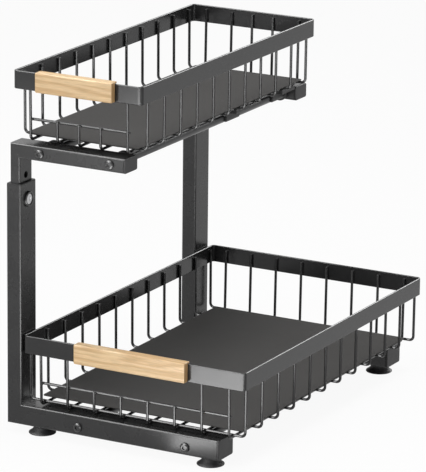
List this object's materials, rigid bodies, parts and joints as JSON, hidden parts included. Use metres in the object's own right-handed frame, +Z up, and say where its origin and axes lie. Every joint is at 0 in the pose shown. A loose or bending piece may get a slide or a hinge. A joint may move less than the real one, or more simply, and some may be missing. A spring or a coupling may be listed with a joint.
{
  "type": "under sink organizer",
  "caption": "Tiered under-sink organizer: a wide wire basket below and a narrow one above slide out on rails, and the upper tier telescopes on side posts.",
  "frame": {"origin": "middle of the whole object's outline at floor level, at rest: baskets pushed in, upper tier as in the picture", "axes": "+Z up, -Y towards the front, where the handles are and the baskets come out, +X to the right, away from the posts"},
  "size_m": [0.296, 0.432, 0.4041],
  "materials": {
    "frame_steel": "fine-textured charcoal powder coat",
    "rail_steel": "smooth charcoal powder coat",
    "basket_steel": "satin charcoal powder coat",
    "plate_steel": "satin charcoal powder coat",
    "handle_wood": "clear matt lacquer on pale wood",
    "black_plastic": "matt moulded",
    "black_rubber": "matt",
    "zinc_screws": "zinc plated",
    "black_screws": "black oxide",
    "insert_brass": "turned"
  },
  "bodies": {
    "base": {"base_front_frame": "frame_steel", "base_rear_frame": "frame_steel", "base_front_end_cap": "black_plastic", "base_rear_end_cap": "black_plastic", "base_left_rail": "rail_steel", "base_right_rail": "rail_steel", "base_rail_inserts": "insert_brass", "base_rail_bolts": "black_screws", "base_front_buffers": "black_rubber", "base_rear_buffers": "black_rubber", "foot_front_left": "black_rubber", "foot_front_right": "black_rubber", "foot_rear_left": "black_rubber", "foot_rear_right": "black_rubber", "front_sleeve_guide": "black_plastic", "rear_sleeve_guide": "black_plastic", "height_clamp_nuts": "zinc_screws", "height_clamp_left_screws": "black_screws", "height_clamp_right_screws": "zinc_screws", "height_clamp_washers": "black_screws"},
    "upper_frame": {"top_front_frame": "frame_steel", "top_rear_frame": "frame_steel", "top_front_end_cap": "black_plastic", "top_rear_end_cap": "black_plastic", "front_post_glide": "black_plastic", "rear_post_glide": "black_plastic", "top_left_rail": "rail_steel", "top_right_rail": "rail_steel", "top_rail_inserts": "insert_brass", "top_rail_bolts": "black_screws", "top_front_buffers": "black_rubber", "top_rear_buffers": "black_rubber"},
    "lower_basket": {"lower_rim_band": "basket_steel", "lower_side_wires": "basket_steel", "lower_length_wires": "basket_steel", "lower_window_wire": "basket_steel", "lower_floor_plate": "plate_steel", "lower_handle": "handle_wood", "lower_handle_screws": "zinc_screws", "lower_slider_front_left": "black_plastic", "lower_slider_front_right": "black_plastic", "lower_slider_rear_left": "black_plastic", "lower_slider_rear_right": "black_plastic", "lower_slider_clamp_bars": "black_plastic", "lower_slider_screws": "zinc_screws"},
    "upper_basket": {"upper_rim_band": "basket_steel", "upper_side_wires": "basket_steel", "upper_length_wires": "basket_steel", "upper_window_wire": "basket_steel", "upper_floor_plate": "plate_steel", "upper_handle": "handle_wood", "upper_handle_screws": "zinc_screws", "upper_slider_front_left": "black_plastic", "upper_slider_front_right": "black_plastic", "upper_slider_rear_left": "black_plastic", "upper_slider_rear_right": "black_plastic", "upper_slider_clamp_bars": "black_plastic", "upper_slider_screws": "zinc_screws"}
  },
  "joints": [
    {"name": "lower_basket_slide", "type": "slide", "parent": "base", "child": "lower_basket", "axis": [0, -1, 0], "range_m": [0, 0.197]},
    {"name": "upper_basket_slide", "type": "slide", "parent": "upper_frame", "child": "upper_basket", "axis": [0, -1, 0], "range_m": [0, 0.21]},
    {"name": "height_slide", "type": "slide", "parent": "base", "child": "upper_frame", "axis": [0, 0, 1], "range_m": [-0.025, 0.05]}
  ]
}
